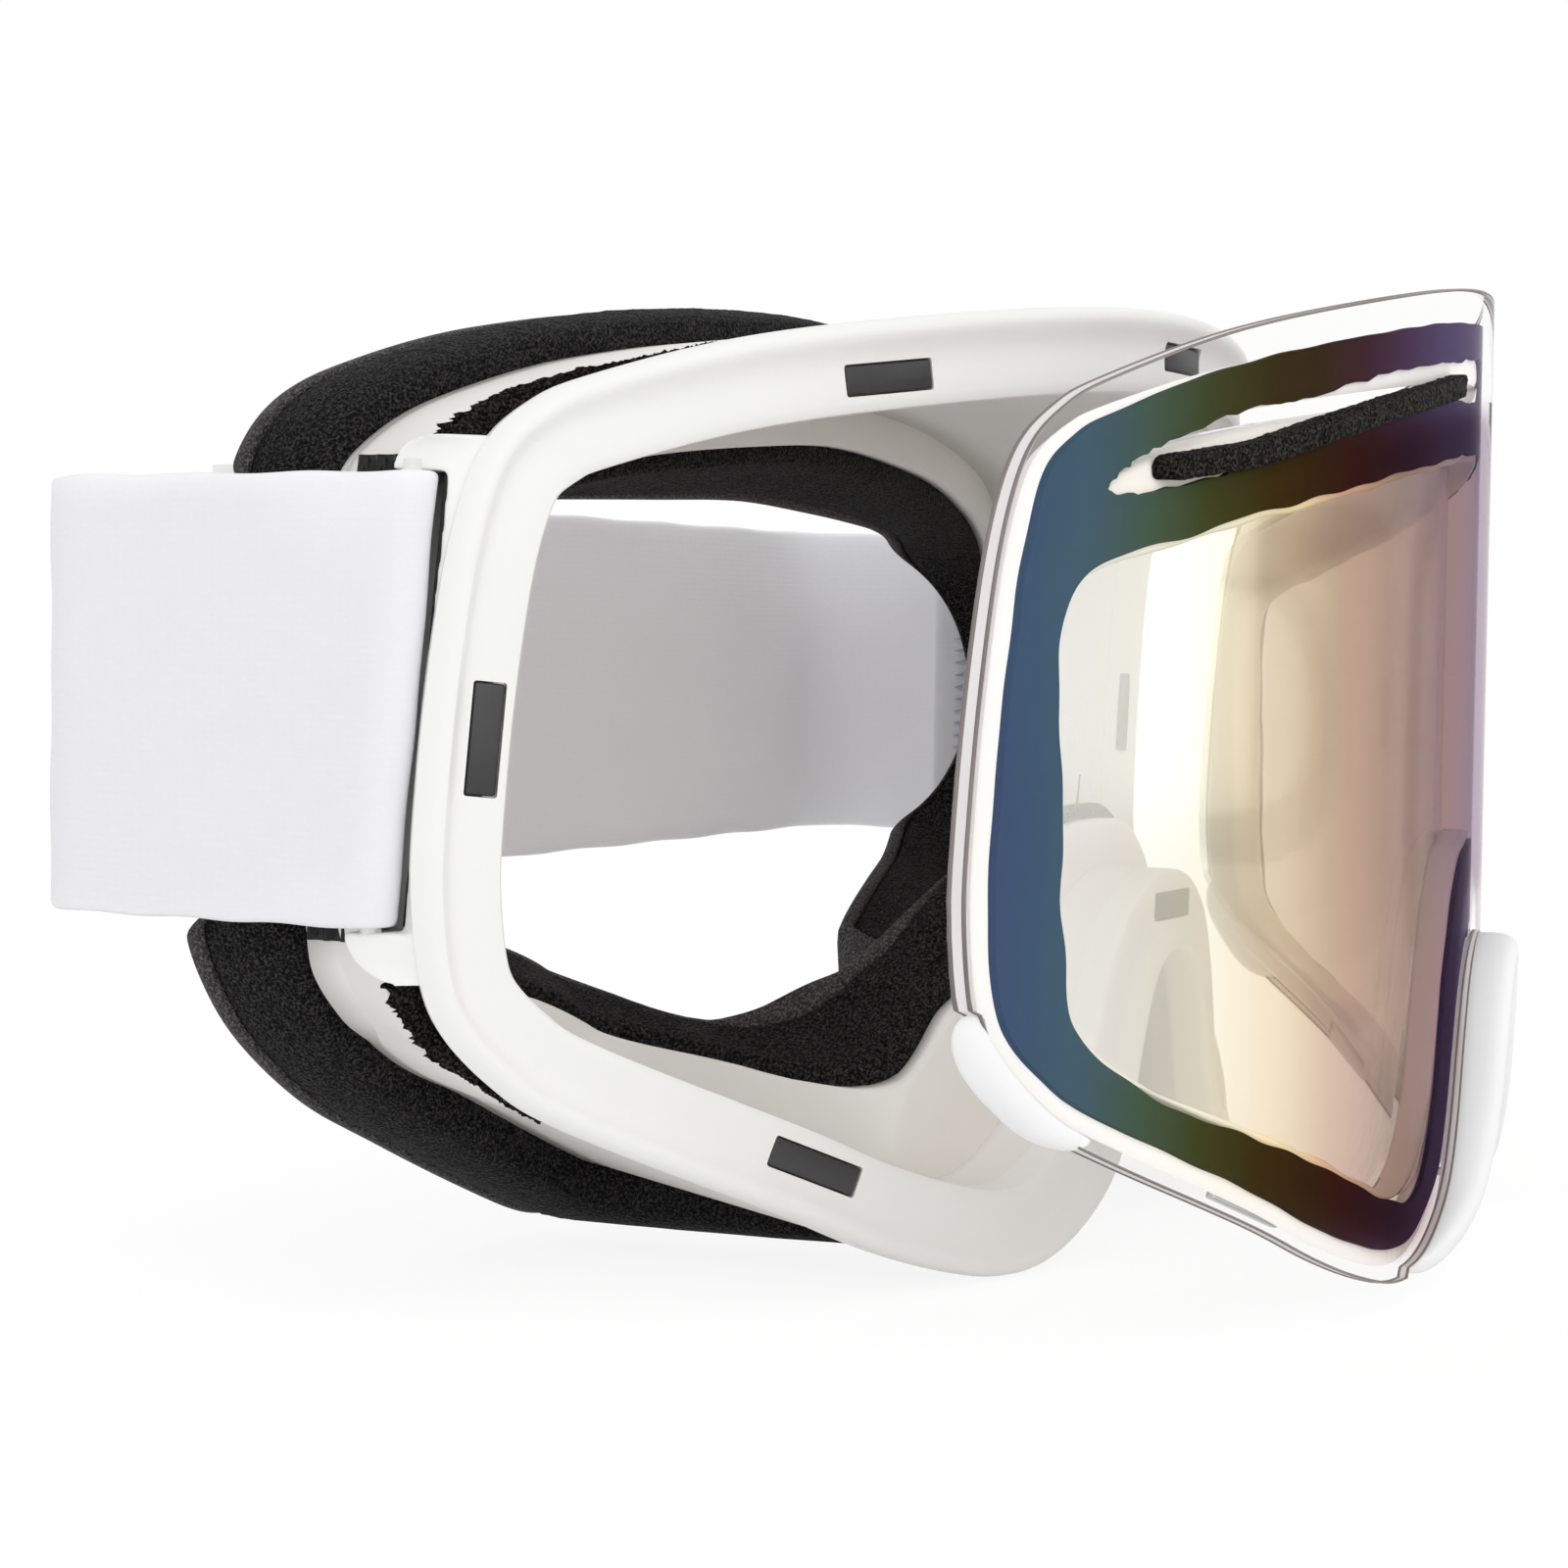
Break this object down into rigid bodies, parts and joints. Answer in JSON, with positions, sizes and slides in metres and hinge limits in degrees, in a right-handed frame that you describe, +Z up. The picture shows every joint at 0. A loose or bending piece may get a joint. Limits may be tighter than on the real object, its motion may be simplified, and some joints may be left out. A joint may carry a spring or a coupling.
{
  "type": "goggles",
  "caption": "Wide-view goggles with a curved lens lifted off its magnets, soft white frame, layered black face foam and a wide elastic strap with a slider.",
  "frame": {"origin": "middle of the face seal on the wearer's eye line, where the forehead foam would meet the face plane", "axes": "+X to the wearer's left, +Y back towards the wearer's head, +Z up; the lens looks along -Y"},
  "size_m": [0.185, 0.1339, 0.107],
  "materials": {
    "white_frame": "satin",
    "white_soft_frame": "satin",
    "black_clip": "gloss",
    "vent_foam": "open-cell foam",
    "magnet": "dark plated",
    "face_foam": "open-cell foam",
    "face_foam_soft": "soft foam",
    "fleece": "brushed fleece",
    "strap": "woven elastic",
    "strap_thread": "thread",
    "silicone": "satin",
    "white_slider": "satin",
    "tinted_lens": "mirror coated",
    "dark_mask": "iridescent",
    "white_carrier": "satin",
    "pale_spacer": "foam tape",
    "clear_lens": "clear",
    "keeper_steel": "brushed",
    "lens_vent_foam": "open-cell foam",
    "white_rubber": "satin"
  },
  "bodies": {
    "frame": {"front_rim": "white_frame", "face_frame": "white_soft_frame", "outrigger_left": "white_frame", "outrigger_right": "white_frame", "strap_clip_left": "black_clip", "strap_clip_right": "black_clip", "vent_foam_top": "vent_foam", "vent_foam_lower_left": "vent_foam", "vent_foam_lower_right": "vent_foam", "seat_magnets": "magnet", "foam_base": "face_foam", "foam_middle": "face_foam_soft", "face_fleece": "fleece", "strap_webbing": "strap", "strap_return": "strap", "strap_bar_tack": "strap_thread", "grip_strips": "silicone"},
    "lens": {"outer_lens": "tinted_lens", "lens_mask": "dark_mask", "lens_carrier": "white_carrier", "lens_spacer": "pale_spacer", "inner_lens": "clear_lens", "lens_keepers": "keeper_steel", "lens_vent_foam": "lens_vent_foam", "grip_tab_left": "white_rubber", "grip_tab_right": "white_rubber", "nose_guard": "white_rubber"},
    "slider": {"slider": "white_slider", "slider_tab": "strap"}
  },
  "joints": [
    {"name": "lens_lift", "type": "hinge", "parent": "frame", "child": "lens", "pos_m": [0.141, -0.028, 0], "axis": [0, 0, 1], "range_deg": [-12.5, 14]},
    {"name": "slider_slide", "type": "slide", "parent": "frame", "child": "slider", "axis": [1, 0, 0], "range_m": [-0.01, 0.01]}
  ]
}
